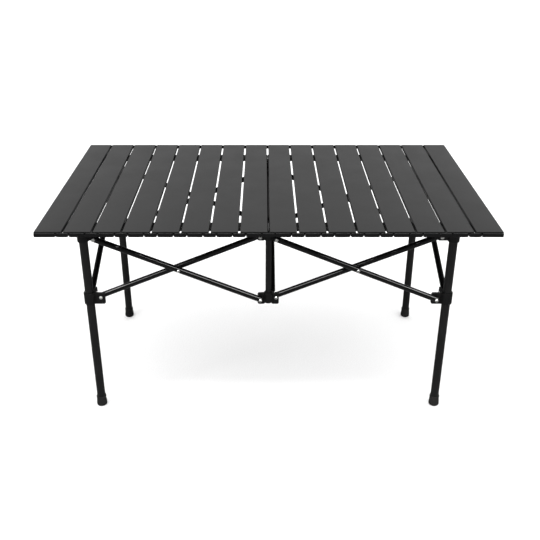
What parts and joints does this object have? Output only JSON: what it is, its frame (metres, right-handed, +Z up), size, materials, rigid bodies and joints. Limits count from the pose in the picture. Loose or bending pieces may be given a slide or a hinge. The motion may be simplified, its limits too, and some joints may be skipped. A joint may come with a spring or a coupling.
{
  "type": "folding picnic table",
  "caption": "Low folding camping table: slatted top that rolls up, resting on rails over a collapsible scissor frame with capped tube legs.",
  "frame": {"origin": "on the floor under the middle of the table top", "axes": "+X along the long side, front edge toward -Y, +Z up"},
  "size_m": [0.95, 0.55, 0.49],
  "materials": {
    "slat_metal": "satin black anodised, lightly brushed",
    "rail_metal": "satin black anodised",
    "joiner_metal": "mill finish",
    "frame_paint": "glossy black paint on steel tube",
    "bracket_plastic": "moulded, semi-matt",
    "foot_plastic": "moulded, matt"
  },
  "bodies": {
    "front_post": {"centre_post_front": "frame_paint", "post_bracket_front": "bracket_plastic"},
    "back_post": {"centre_post_back": "frame_paint", "post_bracket_back": "bracket_plastic"},
    "front_lock": {"lock_bracket_front": "bracket_plastic"},
    "back_lock": {"lock_bracket_back": "bracket_plastic"},
    "leg_front_left": {"leg_front_left": "frame_paint", "foot_front_left": "foot_plastic", "top_bracket_front_left": "bracket_plastic"},
    "slider_front_left": {"slider_bracket_front_left": "bracket_plastic"},
    "leg_front_right": {"leg_front_right": "frame_paint", "foot_front_right": "foot_plastic", "top_bracket_front_right": "bracket_plastic"},
    "slider_front_right": {"slider_bracket_front_right": "bracket_plastic"},
    "leg_back_left": {"leg_back_left": "frame_paint", "foot_back_left": "foot_plastic", "top_bracket_back_left": "bracket_plastic"},
    "slider_back_left": {"slider_bracket_back_left": "bracket_plastic"},
    "leg_back_right": {"leg_back_right": "frame_paint", "foot_back_right": "foot_plastic", "top_bracket_back_right": "bracket_plastic"},
    "slider_back_right": {"slider_bracket_back_right": "bracket_plastic"},
    "brace_front_left_leg_top": {"brace_front_left_leg_top": "frame_paint"},
    "brace_front_left_post_top": {"brace_front_left_post_top": "frame_paint"},
    "brace_front_right_leg_top": {"brace_front_right_leg_top": "frame_paint"},
    "brace_front_right_post_top": {"brace_front_right_post_top": "frame_paint"},
    "brace_back_left_leg_top": {"brace_back_left_leg_top": "frame_paint"},
    "brace_back_left_post_top": {"brace_back_left_post_top": "frame_paint"},
    "brace_back_right_leg_top": {"brace_back_right_leg_top": "frame_paint"},
    "brace_back_right_post_top": {"brace_back_right_post_top": "frame_paint"},
    "brace_left_front_top": {"brace_left_front_top": "frame_paint"},
    "brace_left_back_top": {"brace_left_back_top": "frame_paint"},
    "brace_centre_front_top": {"brace_centre_front_top": "frame_paint"},
    "brace_centre_back_top": {"brace_centre_back_top": "frame_paint"},
    "brace_right_front_top": {"brace_right_front_top": "frame_paint"},
    "brace_right_back_top": {"brace_right_back_top": "frame_paint"},
    "deck": {"slat_01": "slat_metal", "rail_front_left": "rail_metal", "rail_front_right": "rail_metal", "rail_joiner_front": "joiner_metal", "rail_back_left": "rail_metal", "rail_back_right": "rail_metal", "rail_joiner_back": "joiner_metal", "slat_clip_front": "bracket_plastic", "slat_clip_back": "bracket_plastic"},
    "slat_02": {"slat_02": "slat_metal"},
    "slat_03": {"slat_03": "slat_metal"},
    "slat_04": {"slat_04": "slat_metal"},
    "slat_05": {"slat_05": "slat_metal"},
    "slat_06": {"slat_06": "slat_metal"},
    "slat_07": {"slat_07": "slat_metal"},
    "slat_08": {"slat_08": "slat_metal"},
    "slat_09": {"slat_09": "slat_metal"},
    "slat_10": {"slat_10": "slat_metal"},
    "slat_11": {"slat_11": "slat_metal"},
    "slat_12": {"slat_12": "slat_metal"},
    "slat_13": {"slat_13": "slat_metal"},
    "slat_14": {"slat_14": "slat_metal"},
    "slat_15": {"slat_15": "slat_metal"},
    "slat_16": {"slat_16": "slat_metal"}
  },
  "joints": [
    {"name": "frame_fold", "type": "hinge", "parent": "front_post", "child": "brace_front_left_post_top", "pos_m": [-0.0175, -0.198, 0.442], "axis": [0, -1, 0], "range_deg": [0, 60]},
    {"name": "front_left_crossing", "type": "hinge", "parent": "brace_front_left_post_top", "child": "brace_front_left_leg_top", "pos_m": [-0.1945, -0.198, 0.368], "axis": [0, 1, 0], "range_deg": [0, 120]},
    {"name": "front_left_leg_top_pivot", "type": "hinge", "parent": "brace_front_left_leg_top", "child": "leg_front_left", "pos_m": [-0.3715, -0.198, 0.442], "axis": [0, -1, 0], "range_deg": [0, 60]},
    {"name": "front_left_slider_pivot", "type": "hinge", "parent": "brace_front_left_post_top", "child": "slider_front_left", "pos_m": [-0.3715, -0.198, 0.294], "axis": [0, 1, 0], "range_deg": [0, 60]},
    {"name": "front_lock_pivot", "type": "hinge", "parent": "brace_front_left_leg_top", "child": "front_lock", "pos_m": [-0.0175, -0.198, 0.294], "axis": [0, -1, 0], "range_deg": [0, 60]},
    {"name": "front_right_post_top_pivot", "type": "hinge", "parent": "front_post", "child": "brace_front_right_post_top", "pos_m": [0.0175, -0.198, 0.442], "axis": [0, 1, 0], "range_deg": [0, 60]},
    {"name": "front_right_crossing", "type": "hinge", "parent": "brace_front_right_post_top", "child": "brace_front_right_leg_top", "pos_m": [0.1945, -0.198, 0.368], "axis": [0, -1, 0], "range_deg": [0, 120]},
    {"name": "front_right_leg_top_pivot", "type": "hinge", "parent": "brace_front_right_leg_top", "child": "leg_front_right", "pos_m": [0.3715, -0.198, 0.442], "axis": [0, 1, 0], "range_deg": [0, 60]},
    {"name": "front_right_slider_pivot", "type": "hinge", "parent": "brace_front_right_post_top", "child": "slider_front_right", "pos_m": [0.3715, -0.198, 0.294], "axis": [0, -1, 0], "range_deg": [0, 60]},
    {"name": "left_front_top_pivot", "type": "hinge", "parent": "leg_front_left", "child": "brace_left_front_top", "pos_m": [-0.3872, -0.177, 0.442], "axis": [-1, 0, 0], "range_deg": [0, 60]},
    {"name": "left_crossing", "type": "hinge", "parent": "brace_left_front_top", "child": "brace_left_back_top", "pos_m": [-0.3872, 0, 0.368], "axis": [1, 0, 0], "range_deg": [0, 120]},
    {"name": "left_back_top_pivot", "type": "hinge", "parent": "brace_left_back_top", "child": "leg_back_left", "pos_m": [-0.3872, 0.177, 0.442], "axis": [-1, 0, 0], "range_deg": [0, 60]},
    {"name": "left_back_slider_pivot", "type": "hinge", "parent": "brace_left_front_top", "child": "slider_back_left", "pos_m": [-0.3872, 0.177, 0.294], "axis": [1, 0, 0], "range_deg": [0, 60]},
    {"name": "right_front_top_pivot", "type": "hinge", "parent": "leg_front_right", "child": "brace_right_front_top", "pos_m": [0.3872, -0.177, 0.442], "axis": [-1, 0, 0], "range_deg": [0, 60]},
    {"name": "right_crossing", "type": "hinge", "parent": "brace_right_front_top", "child": "brace_right_back_top", "pos_m": [0.3872, 0, 0.368], "axis": [1, 0, 0], "range_deg": [0, 120]},
    {"name": "right_back_top_pivot", "type": "hinge", "parent": "brace_right_back_top", "child": "leg_back_right", "pos_m": [0.3872, 0.177, 0.442], "axis": [-1, 0, 0], "range_deg": [0, 60]},
    {"name": "right_back_slider_pivot", "type": "hinge", "parent": "brace_right_front_top", "child": "slider_back_right", "pos_m": [0.3872, 0.177, 0.294], "axis": [1, 0, 0], "range_deg": [0, 60]},
    {"name": "centre_front_top_pivot", "type": "hinge", "parent": "front_post", "child": "brace_centre_front_top", "pos_m": [0, -0.177, 0.442], "axis": [-1, 0, 0], "range_deg": [0, 60]},
    {"name": "centre_crossing", "type": "hinge", "parent": "brace_centre_front_top", "child": "brace_centre_back_top", "pos_m": [0, 0, 0.368], "axis": [1, 0, 0], "range_deg": [0, 120]},
    {"name": "centre_back_top_pivot", "type": "hinge", "parent": "brace_centre_back_top", "child": "back_post", "pos_m": [0, 0.177, 0.442], "axis": [-1, 0, 0], "range_deg": [0, 60]},
    {"name": "centre_back_slider_pivot", "type": "hinge", "parent": "brace_centre_front_top", "child": "back_lock", "pos_m": [0, 0.177, 0.294], "axis": [1, 0, 0], "range_deg": [0, 60]},
    {"name": "back_left_post_top_pivot", "type": "hinge", "parent": "back_post", "child": "brace_back_left_post_top", "pos_m": [-0.0175, 0.198, 0.442], "axis": [0, -1, 0], "range_deg": [0, 60]},
    {"name": "back_left_crossing", "type": "hinge", "parent": "brace_back_left_post_top", "child": "brace_back_left_leg_top", "pos_m": [-0.1945, 0.198, 0.368], "axis": [0, 1, 0], "range_deg": [0, 120]},
    {"name": "back_right_post_top_pivot", "type": "hinge", "parent": "back_post", "child": "brace_back_right_post_top", "pos_m": [0.0175, 0.198, 0.442], "axis": [0, 1, 0], "range_deg": [0, 60]},
    {"name": "back_right_crossing", "type": "hinge", "parent": "brace_back_right_post_top", "child": "brace_back_right_leg_top", "pos_m": [0.1945, 0.198, 0.368], "axis": [0, -1, 0], "range_deg": [0, 120]},
    {"name": "lift_off", "type": "slide", "parent": "front_post", "child": "deck", "axis": [0, 0, 1], "range_m": [0, 0.25]},
    {"name": "slat_hinge_02", "type": "hinge", "parent": "deck", "child": "slat_02", "pos_m": [-0.40967, 0, 0.485], "axis": [0, -1, 0], "range_deg": [0, 28]},
    {"name": "slat_hinge_03", "type": "hinge", "parent": "slat_02", "child": "slat_03", "pos_m": [-0.35, 0, 0.485], "axis": [0, -1, 0], "range_deg": [0, 28.9]},
    {"name": "slat_hinge_04", "type": "hinge", "parent": "slat_03", "child": "slat_04", "pos_m": [-0.29033, 0, 0.485], "axis": [0, -1, 0], "range_deg": [0, 30.4]},
    {"name": "slat_hinge_05", "type": "hinge", "parent": "slat_04", "child": "slat_05", "pos_m": [-0.23067, 0, 0.485], "axis": [0, -1, 0], "range_deg": [0, 32.2]},
    {"name": "slat_hinge_06", "type": "hinge", "parent": "slat_05", "child": "slat_06", "pos_m": [-0.171, 0, 0.485], "axis": [0, -1, 0], "range_deg": [0, 34.2]},
    {"name": "slat_hinge_07", "type": "hinge", "parent": "slat_06", "child": "slat_07", "pos_m": [-0.11133, 0, 0.485], "axis": [0, -1, 0], "range_deg": [0, 36.5]},
    {"name": "slat_hinge_08", "type": "hinge", "parent": "slat_07", "child": "slat_08", "pos_m": [-0.05167, 0, 0.485], "axis": [0, -1, 0], "range_deg": [0, 39]},
    {"name": "slat_hinge_09", "type": "hinge", "parent": "slat_08", "child": "slat_09", "pos_m": [0.008, 0, 0.485], "axis": [0, -1, 0], "range_deg": [0, 41.6]},
    {"name": "slat_hinge_10", "type": "hinge", "parent": "slat_09", "child": "slat_10", "pos_m": [0.06767, 0, 0.485], "axis": [0, -1, 0], "range_deg": [0, 44.4]},
    {"name": "slat_hinge_11", "type": "hinge", "parent": "slat_10", "child": "slat_11", "pos_m": [0.12733, 0, 0.485], "axis": [0, -1, 0], "range_deg": [0, 47.4]},
    {"name": "slat_hinge_12", "type": "hinge", "parent": "slat_11", "child": "slat_12", "pos_m": [0.187, 0, 0.485], "axis": [0, -1, 0], "range_deg": [0, 50.5]},
    {"name": "slat_hinge_13", "type": "hinge", "parent": "slat_12", "child": "slat_13", "pos_m": [0.24667, 0, 0.485], "axis": [0, -1, 0], "range_deg": [0, 53.7]},
    {"name": "slat_hinge_14", "type": "hinge", "parent": "slat_13", "child": "slat_14", "pos_m": [0.30633, 0, 0.485], "axis": [0, -1, 0], "range_deg": [0, 57]},
    {"name": "slat_hinge_15", "type": "hinge", "parent": "slat_14", "child": "slat_15", "pos_m": [0.366, 0, 0.485], "axis": [0, -1, 0], "range_deg": [0, 60.5]},
    {"name": "slat_hinge_16", "type": "hinge", "parent": "slat_15", "child": "slat_16", "pos_m": [0.42567, 0, 0.485], "axis": [0, -1, 0], "range_deg": [0, 64]}
  ],
  "couplings": [
    {"joint": "front_left_crossing", "follows": "frame_fold", "ratio": 2},
    {"joint": "front_left_leg_top_pivot", "follows": "frame_fold", "ratio": 1},
    {"joint": "front_left_slider_pivot", "follows": "frame_fold", "ratio": 1},
    {"joint": "front_lock_pivot", "follows": "frame_fold", "ratio": 1},
    {"joint": "front_right_post_top_pivot", "follows": "frame_fold", "ratio": 1},
    {"joint": "front_right_crossing", "follows": "frame_fold", "ratio": 2},
    {"joint": "front_right_leg_top_pivot", "follows": "frame_fold", "ratio": 1},
    {"joint": "front_right_slider_pivot", "follows": "frame_fold", "ratio": 1},
    {"joint": "left_front_top_pivot", "follows": "frame_fold", "ratio": 1},
    {"joint": "left_crossing", "follows": "frame_fold", "ratio": 2},
    {"joint": "left_back_top_pivot", "follows": "frame_fold", "ratio": 1},
    {"joint": "left_back_slider_pivot", "follows": "frame_fold", "ratio": 1},
    {"joint": "right_front_top_pivot", "follows": "frame_fold", "ratio": 1},
    {"joint": "right_crossing", "follows": "frame_fold", "ratio": 2},
    {"joint": "right_back_top_pivot", "follows": "frame_fold", "ratio": 1},
    {"joint": "right_back_slider_pivot", "follows": "frame_fold", "ratio": 1},
    {"joint": "centre_front_top_pivot", "follows": "frame_fold", "ratio": 1},
    {"joint": "centre_crossing", "follows": "frame_fold", "ratio": 2},
    {"joint": "centre_back_top_pivot", "follows": "frame_fold", "ratio": 1},
    {"joint": "centre_back_slider_pivot", "follows": "frame_fold", "ratio": 1},
    {"joint": "back_left_post_top_pivot", "follows": "frame_fold", "ratio": 1},
    {"joint": "back_left_crossing", "follows": "frame_fold", "ratio": 2},
    {"joint": "back_right_post_top_pivot", "follows": "frame_fold", "ratio": 1},
    {"joint": "back_right_crossing", "follows": "frame_fold", "ratio": 2}
  ]
}
